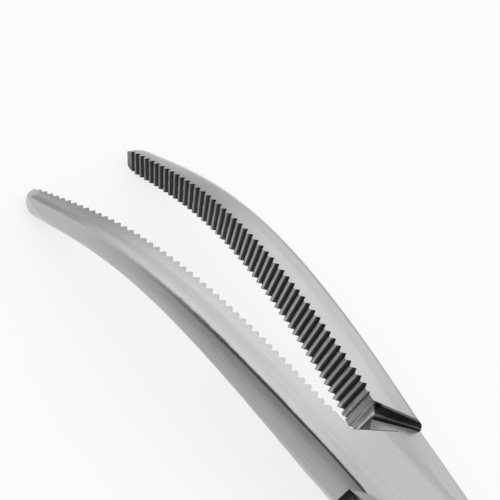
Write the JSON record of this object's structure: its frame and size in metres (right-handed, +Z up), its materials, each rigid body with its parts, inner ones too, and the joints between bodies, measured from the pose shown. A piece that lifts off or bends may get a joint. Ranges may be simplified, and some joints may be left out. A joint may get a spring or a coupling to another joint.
{
  "type": "hemostat forceps",
  "caption": "Curved box-lock artery forceps with serrated jaws, ring handles and a ratchet, shown part open.",
  "frame": {"origin": "on the table under the middle of the forceps' bounding box", "axes": "+X along the forceps towards the jaw tips, +Y towards the jaw of the boxed half, +Z up from the table, with the convex side of the jaws up"},
  "size_m": [0.1392, 0.0736, 0.0103],
  "materials": {
    "satin_steel": "fine satin, brushed along the length",
    "rivet_steel": "ground flush with the lock"
  },
  "bodies": {
    "boxed": {"boxed_half": "satin_steel", "lock_rivet": "rivet_steel"},
    "tenon": {"tenon_half": "satin_steel"}
  },
  "joints": [
    {"name": "lock_hinge", "type": "hinge", "parent": "boxed", "child": "tenon", "pos_m": [0.02025, 0, 0.00692], "axis": [-0.0567, 0, 0.9984], "range_deg": [-28, 13.6]}
  ]
}
